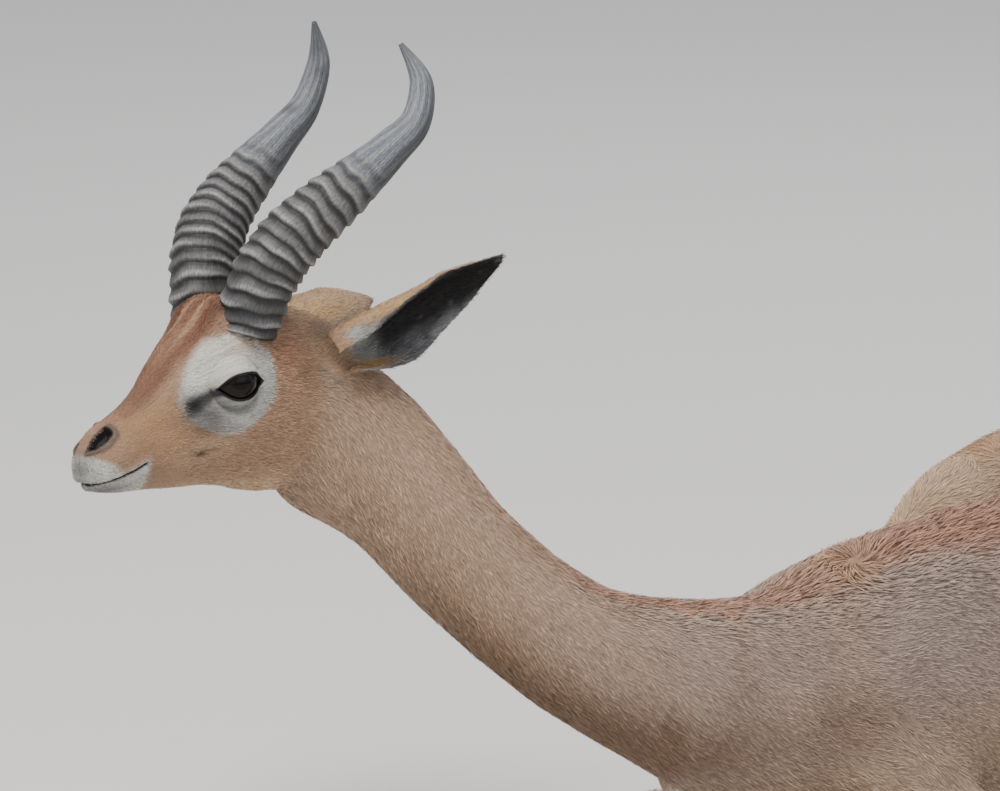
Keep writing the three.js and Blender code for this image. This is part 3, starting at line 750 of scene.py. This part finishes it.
def make_skin():
    core = node_mesh(FLESH + ["eye_left", "eye_right"], "skin")
    fuse(core, SKIN_GRID)
    mesh = core.data
    points, _ = mesh_arrays(mesh)
    where = follow_body(points)
    loose = by_region(SMOOTHING, where)
    for joining in (THROAT, *THIGH_BACKS):
        loose += 0.45 * blob(points, body_place(joining), [60, 60, 50])
    back_of_head = smooth(-to_head(points)[:, 0], 160, 215) * of_region(where, "share", "head")
    loose = np.minimum(loose + 0.4 * back_of_head, 0.7)
    points = relax(points, mesh_edges(mesh), loose, RELAX_ROUNDS)
    points = bend_ear(points, where)
    points[:, 2] = np.maximum(points[:, 2], FLOOR_GAP)
    set_points(mesh, points)
    points, normals = mesh_arrays(mesh)
    points = shape_body(points, normals)
    points[:, 2] = np.maximum(points[:, 2], FLOOR_GAP)
    inward = by_region(COAT_DEPTH, where)
    inward *= smooth(-to_head(points)[:, 0], 0, 60) * 0.8 + 0.2
    set_points(mesh, points - normals * inward[:, None])
    refine(mesh, lambda q: in_face(q, 70, -70, 110), 2)
    refine(mesh, near_eye_or_muzzle, 1)
    refine(mesh, near_lids, 1)
    points, normals = mesh_arrays(mesh)
    local = to_head(points)
    face = in_face(local, 75, -75, 115)
    bare = np.zeros(len(points))
    bare[face] = bare_places(local[face])
    mesh.attributes.new("Bare", "FLOAT", "POINT").data.foreach_set("value", bare.astype(np.float32))
    shaped = shape_face(local[face], normals[face] @ HEAD_TURN)
    points[face] = from_head(shaped)
    set_points(mesh, points)
    shade_smooth(mesh)
    core.data.materials.append(skin_material())
    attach(core, "root")
    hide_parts(*FLESH)
    return core


def bare_places(local):
    """1 where the skin shows no hair: eyes, nostrils, mouth line and inner corner of the eye."""
    p, _ = to_left(local)
    a, b, h = eye_coordinates(p)
    lids = (h > 0) * (np.hypot(a, b) < 30) * smooth(lid_margin(a, b), -2.6, -1.4)
    nostril = 1 - smooth(nostril_depth(p), 0.95, 1.25)
    mouth, _ = side_distance(p, MOUTH)
    tear, _ = side_distance(p, TEAR)
    lines = np.maximum(1 - smooth(mouth, 1.0, 1.9), 0.9 * (1 - smooth(tear, 1.2, 2.6)))
    return np.clip(lids + nostril + lines, 0, 1)


def set_inputs(node, values):
    for key, value in values.items():
        node.inputs[key.replace("_", " ")].default_value = value


def add_node(tree, kind, **values):
    node = tree.nodes.new("ShaderNode" + kind)
    set_inputs(node, values)
    return node


def principled(name, **values):
    material = bpy.data.materials.new(name)
    material.use_nodes = True
    shader = material.node_tree.nodes["Principled BSDF"]
    set_inputs(shader, values)
    return material, material.node_tree, shader


def link_colour(tree, shader, scale, amount, strand=None):
    """Painted colour, broken up by noise; with a strand, the noise runs along the hair or fibre."""
    painted = add_node(tree, "Attribute")
    painted.attribute_name = "Coat"
    place = add_node(tree, "Attribute" if strand else "TexCoord")
    if strand:
        place.attribute_name = strand
    noise = add_node(tree, "TexNoise", Scale=scale, Detail=4)
    tree.links.new(place.outputs["Vector" if strand else "Object"], noise.inputs["Vector"])
    level = add_node(tree, "MapRange", From_Min=0.3, From_Max=0.7, To_Min=1 - amount, To_Max=1 + amount)
    tree.links.new(noise.outputs["Fac"], level.inputs["Value"])
    blend = add_node(tree, "Mix", Factor=1)
    blend.data_type = "RGBA"
    blend.blend_type = "MULTIPLY"
    tree.links.new(painted.outputs["Color"], blend.inputs["A"])
    tree.links.new(level.outputs["Result"], blend.inputs["B"])
    tree.links.new(blend.outputs["Result"], shader.inputs["Base Color"])
    return noise


def add_bump(tree, shader, noise, strength, distance):
    bump = add_node(tree, "Bump", Strength=strength, Distance=distance)
    tree.links.new(noise.outputs["Fac"], bump.inputs["Height"])
    tree.links.new(bump.outputs["Normal"], shader.inputs["Normal"])


def skin_material():
    material, tree, shader = principled("skin", Roughness=0.62, Specular_IOR_Level=0.3)
    noise = link_colour(tree, shader, scale=1.0, amount=0.3, strand="Strand")
    add_bump(tree, shader, noise, strength=0.5, distance=0.0007)
    return material


def coat_material():
    material, tree, shader = principled("coat", Roughness=0.55, Specular_IOR_Level=0.25,
                                        Sheen_Weight=0.06, Sheen_Roughness=0.4,
                                        Sheen_Tint=(0.86, 0.84, 0.95, 1))
    link_colour(tree, shader, scale=160, amount=0.14)
    return material


def horn_material():
    material, tree, shader = principled("horn", Roughness=0.55, Specular_IOR_Level=0.4)
    noise = link_colour(tree, shader, scale=3.2, amount=0.45, strand="Strand")
    add_bump(tree, shader, noise, strength=0.45, distance=0.0007)
    return material


def eye_material():
    material, tree, shader = principled("eye", Roughness=0.07, Specular_IOR_Level=0.16)
    link_colour(tree, shader, scale=300, amount=0.2)
    return material


def hoof_material():
    material, tree, shader = principled("hoof", Roughness=0.42, Specular_IOR_Level=0.45)
    noise = add_node(tree, "TexNoise", Scale=160, Detail=6)
    ramp = add_node(tree, "ValToRGB")
    ramp.color_ramp.elements[0].color = (*colour("black"), 1)
    ramp.color_ramp.elements[1].color = (*(colour("dark") * 1.6), 1)
    tree.links.new(noise.outputs["Fac"], ramp.inputs["Fac"])
    tree.links.new(ramp.outputs["Color"], shader.inputs["Base Color"])
    add_bump(tree, shader, noise, strength=0.4, distance=0.0006)
    return material


# Horns
HORN_PATH = [
    [-154, 25, 74], [-167, 37, 112], [-186, 48, 138], [-212, 57, 158], [-242, 62, 176],
    [-272, 65, 194], [-301, 66, 214], [-314, 61, 244], [-306, 51, 275],
]
HORN_RADII = [25, 26.5, 26.5, 24, 20, 15.5, 12, 9, 2]
HORN_RINGS = 14
HORN_RINGED = 0.54
HORN_LEAN = 7.0
HORN_FLATNESS = 0.86
RING_RISE = 0.24
# Horn colours: dark for painted shade in the grooves between rings, pale for painted highlight on the ring
# crests and for the light streaks above them
HORN_COLOURS = {
    "dark": [0.016, 0.016, 0.017], "band": [0.15, 0.145, 0.14],
    "pale": [0.33, 0.325, 0.315], "steel": [0.115, 0.125, 0.145],
}


def between(values, at):
    """Smooth value between stations."""
    values = np.array(values, float)
    last = len(values) - 1
    i = np.minimum(np.floor(at).astype(int), last - 1)
    f = (at - i)[:, None] if values.ndim > 1 else at - i
    a, b, c, d = (values[np.clip(i + k, 0, last)] for k in (-1, 0, 1, 2))
    return b + 0.5 * f * (c - a + f * (2 * a - 5 * b + 4 * c - d + f * (3 * (b - c) + d - a)))


def horn_rings(s, t):
    """The rings' profile from 0 to 1, along the horn (s) and round it (t), and their height."""
    wobble = 0.10 * np.sin(2 * t + 1.3 + 9 * s) + 0.07 * np.sin(5 * t + 23 * s) + 0.12 * np.cos(t)
    ring_at = s / HORN_RINGED * HORN_RINGS * (1.32 - 0.32 * s / HORN_RINGED) + wobble
    phase = ring_at % 1
    uneven = 0.75 + 0.25 * np.sin(3 * np.floor(ring_at) + 1.7) * np.sin(2 * t + np.floor(ring_at))
    fall = 1 - smooth(phase, RING_RISE, 1.15) * 0.95
    step = np.where(phase < RING_RISE, smooth(phase, 0.0, RING_RISE), fall) * uneven
    fade = 1 - smooth(s, HORN_RINGED * 0.82, HORN_RINGED * 1.08)
    return step, (step - 0.5) * (4.1 - 2.2 * s) * fade * (0.7 + 0.3 * np.cos(t) ** 2)


def horn_colour(s, t, step):
    """Pale ridge crests over dark gaps on the ringed part, as painted highlight on the crests and painted
    shade in the grooves; steel grey with streaks above it, darker on the back as painted shade.
    """
    dark, band, pale, steel = (np.array(rgb) for rgb in HORN_COLOURS.values())
    # Less lightening towards the back of the horn: painted shade on its back
    reach = np.clip(0.30 + 0.7 * s / HORN_RINGED, 0, 1) * (1 - 0.45 * smooth(-np.cos(t), -0.3, 0.8))
    ringed = dark + (band - dark) * (smooth(step, 0.12, 0.6) * reach)[..., None]
    ringed += (pale - band) * (smooth(step, 0.62, 0.95) * (0.5 + 0.5 * reach))[..., None]
    streak = np.sin(t * 17 + 5 * s) * np.sin(t * 29 - 13 * s + 1) * 0.5 + 0.5
    upper = steel + (pale - steel) * (0.6 * smooth(streak, 0.4, 0.9))[..., None]
    # Painted shade: the back and underside of the plain upper horn darker; the tip darker too
    behind = smooth(-np.cos(t + 0.5), -0.1, 0.9) * (1 - smooth(s, 0.75, 0.95))
    upper *= (1 - 0.6 * behind - 0.4 * smooth(s, 0.9, 1.0))[..., None]
    plain = smooth(s, HORN_RINGED * 0.8, HORN_RINGED * 1.1)[..., None]
    return np.vstack([(ringed * (1 - plain) + upper * plain).reshape(-1, 3), dark, dark])


def tube_faces(rows, columns):
    """Triangles of a tube, closed at both ends on two more points."""
    r, c = np.meshgrid(np.arange(rows - 1), np.arange(columns), indexing="ij")
    a, b = r * columns + c, r * columns + (c + 1) % columns
    ring = np.arange(columns)
    beside = (ring + 1) % columns
    top = (rows - 1) * columns
    first, last = np.full(columns, rows * columns), np.full(columns, rows * columns + 1)
    return np.vstack([
        np.stack([a, b, b + columns], -1).reshape(-1, 3),
        np.stack([a, b + columns, a + columns], -1).reshape(-1, 3),
        np.stack([first, beside, ring], 1),
        np.stack([last, top + ring, top + beside], 1),
    ])


def make_horn(name, side, material):
    rows, columns = 320, 96
    share = np.linspace(0, 1, rows)
    path = between(HORN_PATH, share * (len(HORN_PATH) - 1))
    path[:, 1] *= side
    path[:, 2] -= side * HORN_LEAN * share ** 2
    radius = between(HORN_RADII, share * (len(HORN_RADII) - 1))[:, None]
    way = unit(np.gradient(path, axis=0))
    forward = np.array([1.0, 0, 0.2])
    front = unit(forward - way * (way @ forward)[:, None])
    across = np.cross(way, front) * HORN_FLATNESS
    angle = np.linspace(0, 2 * math.pi, columns, endpoint=False)
    s, t = np.meshgrid(share, angle, indexing="ij")
    step, ridge = horn_rings(s, t)
    grain = 0.22 * np.sin(t * 23 + 7 * s) * np.sin(t * 9 - 11 * s) + 0.15 * np.sin(t * 31 + 40 * s)
    size = radius + ridge * smooth(radius, 2, 14) + grain * smooth(radius, 1, 10)
    shape = (path[:, None] + front[:, None] * (np.cos(t) * size)[..., None]
             + across[:, None] * (np.sin(t) * size)[..., None])
    points = from_head(np.vstack([shape.reshape(-1, 3), path[[0, -1]]]))
    mesh = bpy.data.meshes.new(name)
    build_mesh(mesh, points, tube_faces(rows, columns))
    stain = smooth(wavy(points, 9), 0.5, 1.0)[:, None] * 0.5
    paint(mesh, horn_colour(s, t, step) * (1 - stain))
    strand = np.stack([8 * np.cos(t), 8 * np.sin(t), 26 * s], -1).reshape(-1, 3)
    set_strand(mesh, np.vstack([strand, [0, 0, 0], [0, 0, 26]]))
    shade_smooth(mesh)
    horn = new_object(name + "_ringed", mesh)
    fix_normals(mesh)
    mesh.materials.append(material)
    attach(horn, "root")
    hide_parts(name)


def fix_normals(mesh):
    edit_mesh(mesh, lambda bm: bmesh.ops.recalc_face_normals(bm, faces=bm.faces))


EYE_BLACK = [0.004, 0.0035, 0.004]
IRIS_WARMTH = np.array([0.006, 0.003, 0.001])
CORNEA_BULGE = 0.9


def make_eye(name, side, material):
    mesh = bpy.data.meshes.new(name)
    sphere = {"u_segments": 72, "v_segments": 48, "radius": EYE_RADIUS}
    edit_mesh(mesh, lambda bm: bmesh.ops.create_uvsphere(bm, **sphere))
    p = read(mesh.vertices, "co", 3)
    out = p / EYE_RADIUS
    a, b, h = out @ EYE_FORWARD, out @ EYE_UP, out @ EYE_OUT
    p = p + out * (CORNEA_BULGE * smooth(h, 0.72, 0.96))[:, None]
    pupil = (1 - smooth(np.hypot(a / 0.44, b / 0.2), 0.8, 1.05)) * (h > 0)
    iris = (1 - smooth(np.hypot(a, b), 0.66, 0.8)) * (h > 0)
    rgb = np.tile(EYE_BLACK, (len(p), 1)) + iris[:, None] * IRIS_WARMTH
    rgb *= (1 - 0.8 * pupil)[:, None]
    centre = EYE_AT * [1, side, 1]
    p = centre + p * [1, side, 1]
    set_points(mesh, from_head(p))
    paint(mesh, rgb)
    if side < 0:
        fix_normals(mesh)
    shade_smooth(mesh)
    mesh.materials.append(material)
    eye = new_object(name + "_ball", mesh)
    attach(eye, "root")
    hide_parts(name)


HOOF_GRID = 0.0016


def make_hooves(material):
    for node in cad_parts:
        if "hoof" not in node:
            continue
        claw = node_mesh([node], node + "_horn")
        fuse(claw, HOOF_GRID)
        points, _ = mesh_arrays(claw.data)
        points = relax(points, mesh_edges(claw.data), np.full(len(points), 0.5), 5)
        points[:, 2] = np.maximum(points[:, 2], 0.1)
        set_points(claw.data, points)
        shade_smooth(claw.data)
        claw.data.materials.append(material)
        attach(claw, "root")
        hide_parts(node)


# Coat: tufts of three faces, each lying along the body
TUFTS = 330_000
TUFT_LENGTH = {"head": 5, "ear": 4.5, "neck": 6.4, "trunk": 7.8, "tail": 11, "leg": 7.5, "foot": 4.5}
TUFT_LIFT = {"head": 7, "ear": 8, "neck": 9, "trunk": 9, "tail": 12, "leg": 9, "foot": 8}
TUFT_SHARE = {"head": 2.6, "ear": 1.6, "neck": 1.5, "trunk": 0.8, "tail": 1.2, "leg": 0.8, "foot": 1.2}
TUFTS_IN_PIECE = 64_000
ISLANDS = [0.16, 0.04, 0.04, 0.18, 0.26, 0.03] + [0.055] * 4 + [0.0175] * 4
PATCH = 0.003
# Painted shade: the skin under the coat takes the coat's colour darkened, for the shade between the hairs
SKIN_PAINTED_SHADE = 0.62
LENGTH_SPREAD = (0.65, 1.25)
WIDTH_OF_LENGTH = 0.075
WIDTH_LIMITS = (0.28, 1.0)
WIDTH_SPREAD = (0.8, 1.3)
ROOT_DEPTH = 0.35
BLADE_FACES = np.array([[0, 1, 2], [0, 2, 3], [3, 2, 4]])
BLADE_TONES = np.array([0.5, 0.5, 0.9, 0.9, 1.12])
BLADE_PATCH = np.array([[-0.4, -0.5], [0.4, -0.5], [0.5, 0], [-0.5, 0], [0, 0.5]]) * PATCH


def unwrap(where):
    """Each line of the body is a strip of the map: round it one way, along it the other."""
    starts = np.r_[0, np.cumsum(ISLANDS)[:-1]]
    lengths = []
    for _, line in all_lines():
        lengths.append(sum(np.linalg.norm(b[0] - a[0]) for a, b in zip(line, line[1:])))
    u = 0.01 + 0.98 * (where["angle"] / (2 * math.pi) + 0.5)
    share = np.clip(where["along"] / np.array(lengths)[where["line"]], 0, 1)
    v = starts[where["line"]] + np.array(ISLANDS)[where["line"]] * (0.04 + 0.92 * share)
    return np.stack([u, v], 1)


def sample_skin(mesh, density, count):
    corners = mesh_triangles(mesh)
    points, normals = mesh_arrays(mesh)
    a, b, c = (points[corners[:, k]] for k in range(3))
    area = np.linalg.norm(np.cross(b - a, c - a), axis=1) / 2 * density[corners].mean(1)
    edges = np.cumsum(area)
    at = (np.arange(count) + RANDOM.uniform(0, 1, count)) / count * edges[-1]
    face = np.searchsorted(edges, at).clip(0, len(corners) - 1)
    r, s = RANDOM.uniform(0, 1, (2, count))
    r = np.sqrt(r)
    weights = np.stack([1 - r, r * (1 - s), r * s], 1)
    take = corners[face]
    root = (points[take] * weights[..., None]).sum(1)
    normal = (normals[take] * weights[..., None]).sum(1)
    return root, unit(normal, 1e-9)


def paint_skin(mesh, points, normals, where, bare):
    # Skin painted darker under the coat, as painted shade between the hairs; bare places black
    paint(mesh, mix(coat_colour(points, normals, where) * SKIN_PAINTED_SHADE, "black", bare))
    set_strand(mesh, body_strand(where))


def tuft_sizes(root, local, where, tail_tip):
    """Length, lift and width of each tuft."""
    length = by_region(TUFT_LENGTH, where) * RANDOM.uniform(*LENGTH_SPREAD, len(root))
    length *= np.where(where["region"] == 0, 0.42 + 0.75 * smooth(-local[:, 0], 10, 190), 1)
    a, b, h = eye_coordinates(to_left(local)[0])
    length *= np.where(h > 0, 0.45 + 0.55 * smooth(np.hypot(a, b), 20, 34), 1)
    top = on_top(where, "trunk", 0.6)
    top += on_top(where, "neck", 0.5) * smooth(of_region(where, "alongs", "neck"), 150, 400)
    length *= 1 + 0.55 * top
    length *= 1 + 1.4 * tail_tip
    lift = np.radians(by_region(TUFT_LIFT, where) + RANDOM.normal(0, 4, len(root)) + 8 * top)
    lift += 0.3 * np.exp(-(np.linalg.norm(root - WHORL, axis=1) / 34) ** 2)
    width = np.clip(WIDTH_OF_LENGTH * length, *WIDTH_LIMITS) * RANDOM.uniform(*WIDTH_SPREAD, len(root))
    return length, lift, width


def tuft_corners(root, normal, lie, length, lift, width):
    """Two corners at the root, two halfway and one at the tip."""
    swing = RANDOM.normal(0, 0.16, len(root))[:, None]
    across = np.cross(normal, lie)
    lie, across = lie * np.cos(swing) + across * np.sin(swing), across * np.cos(swing) - lie * np.sin(swing)
    bank = RANDOM.normal(0, 0.45, len(root))[:, None]
    across = across * np.cos(bank) + normal * np.sin(bank)
    half = across * (width / 2)[:, None]
    start = root - normal * ROOT_DEPTH
    mid = root + lie * (length * 0.5)[:, None] + normal * (length * 0.5 * np.sin(lift) + 0.25)[:, None]
    tip = root + lie * length[:, None] + normal * (length * np.sin(lift) * 0.7)[:, None]
    corners = np.stack([start - half * 0.7, start + half * 0.7, mid + half, mid - half, tip], 1)
    corners[..., 2] = np.maximum(corners[..., 2], 0.3)
    return corners


def tuft_tones(rgb, head, local):
    """Uneven tufts, darker at the root, with dark whisker roots on the white of the muzzle."""
    tint = 1 + RANDOM.normal(0, 0.13, len(rgb))
    speck = RANDOM.uniform(0, 1, len(rgb))
    white_face = head & (rgb.min(1) > 0.3) & (local[:, 0] > -60)
    tint = np.where(white_face & (speck < 0.14), 0.15, tint)
    tint = np.where(~head & (speck < 0.12), 0.6, tint)
    tint = np.where(~head & (speck > 0.93), 1.22, tint)
    return np.clip((rgb * tint[:, None])[:, None] * BLADE_TONES[:, None], 0, 0.95)


def make_coat(skin, material):
    points, normals = mesh_arrays(skin.data)
    where = follow_body(points)
    bare = read(skin.data.attributes["Bare"].data, "value", 1, np.float32)[:, 0]
    paint_skin(skin.data, points, normals, where, bare)
    under = (points[:, 2] < 2.5).astype(float)
    muzzle = smooth(to_head(points)[:, 0], -70, -20) * (where["region"] == 0)
    density = by_region(TUFT_SHARE, where) * (1 - bare) * (1 - under) * (1 + 1.2 * muzzle)
    root, normal = sample_skin(skin.data, density, TUFTS)
    where = follow_body(root)
    local = to_head(root)
    tail_tip = smooth(where["along"], 170, 215) * (where["region"] == REGIONS.index("tail"))
    sizes = tuft_sizes(root, local, where, tail_tip)
    blades = tuft_corners(root, normal, coat_lie(root, normal, where), *sizes)
    tones = tuft_tones(coat_colour(root, normal, where), where["region"] == 0, local)
    maps = unwrap(where)[:, None] + BLADE_PATCH
    dark = (tail_tip > 0.5) | (blob(root, body_place(KNEE_TUFT), [24, 24, 20]) > 0.5)
    blade_piece("dark_tufts", blades[dark], tones[dark], maps[dark], material)
    blades, tones, maps = blades[~dark], tones[~dark], maps[~dark]
    order = np.argsort(where["line"][~dark], kind="stable")
    pieces = max(1, math.ceil(len(blades) / TUFTS_IN_PIECE))
    for number, part in enumerate(np.array_split(order, pieces)):
        blade_piece(f"coat_{number + 1}", blades[part], tones[part], maps[part], material)


def blade_piece(name, blades, tones, maps, material):
    count = len(blades)
    faces = (np.arange(count)[:, None, None] * 5 + BLADE_FACES).reshape(-1, 3)
    mesh = bpy.data.meshes.new(name)
    build_mesh(mesh, blades.reshape(-1, 3), faces)
    paint(mesh, tones.reshape(-1, 3))
    layer = mesh.uv_layers.new(name="OFBake")
    layer.data.foreach_set("uv", maps.reshape(-1, 2)[faces.ravel()].astype(np.float32).ravel())
    shade_smooth(mesh)
    mesh.materials.append(material)
    piece = new_object(name, mesh)
    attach(piece, "root")


LASHES = 46
WHISKERS = 26


def make_lashes(material):
    """Upper lashes and a few whiskers on the lips, both sides."""
    hairs = []
    for side in (1, -1):
        for k in range(LASHES):
            a = LID["shift"] + LID["half"] * (0.45 - 1.35 * k / LASHES)
            t = abs((a - LID["shift"]) / LID["half"])
            b = LID["upper"] * (1 - t ** 2.7) + 0.6 - LID["drop"]
            h = math.sqrt(max((EYE_RADIUS + LID["thick"]) ** 2 - a * a - b * b, 1)) + 0.3
            root = EYE_AT + a * EYE_FORWARD + b * EYE_UP + h * EYE_OUT
            way = EYE_OUT * 0.9 + EYE_UP * RANDOM.normal(-0.05, 0.12)
            way += EYE_FORWARD * RANDOM.normal(-0.35, 0.15)
            hairs.append((root * [1, side, 1], way * [1, side, 1], RANDOM.uniform(5, 8.5)))
        for _ in range(WHISKERS):
            x, z = RANDOM.uniform(-34, -10), RANDOM.uniform(-12, 0)
            root = np.array([x, 8 + 9 * smooth(-x, 6, 40), z])
            way = np.array([RANDOM.normal(-0.1, 0.3), side * 0.9, RANDOM.normal(-0.6, 0.25)])
            hairs.append((root * [1, side, 1], way, RANDOM.uniform(8, 16)))
    root, way, length = (np.array(column) for column in zip(*hairs))
    root = from_head(root)
    way = unit(way @ HEAD_TURN.T)
    length = length[:, None]
    across = unit(np.cross(way, [0, 0, 1.0]))
    drop = np.array([0, 0, -0.16]) * length
    mid = root + way * length * 0.55
    blades = np.stack([root - across * 0.12, root + across * 0.12, mid + across * 0.09, mid - across * 0.09,
                       root + way * length + drop], 1)
    tones = np.tile(colour("black"), (len(root), 5, 1))
    maps = np.tile(0.5 + BLADE_PATCH, (len(root), 1, 1))
    blade_piece("lashes_and_whiskers", blades, tones, maps, material)


def make_stage():
    mesh = bpy.data.meshes.new("floor")
    edit_mesh(mesh, lambda bm: bmesh.ops.create_grid(bm, x_segments=2, y_segments=2, size=14))
    floor = new_object("floor", mesh)
    mesh.materials.append(principled("floor", Roughness=0.85, Base_Color=(0.72, 0.70, 0.66, 1))[0])
    world = bpy.data.worlds.new("studio")
    bpy.context.scene.world = world
    world.use_nodes = True
    set_inputs(world.node_tree.nodes["Background"], {"Color": (0.90, 0.93, 1.0, 1), "Strength": 0.72})
    add_light("key", (-0.9, -1.5, 3.1), size=1.2, power=120, colour=(1.0, 0.97, 0.93))
    add_light("fill", (1.8, -2.4, 1.6), size=2.4, power=18, colour=(0.93, 0.95, 1.0))
    add_light("back", (0.6, 2.6, 2.6), size=2.0, power=34, colour=(0.95, 0.97, 1.0))


add_camera()
make_stage()
skin = make_skin()
coat_look = coat_material()
make_coat(skin, coat_look)
make_lashes(coat_look)
horn_look = horn_material()
eye_look = eye_material()
for label, way_out in (("left", 1), ("right", -1)):
    make_horn(f"horn_{label}", way_out, horn_look)
    make_eye(f"eye_{label}", way_out, eye_look)
make_hooves(hoof_material())
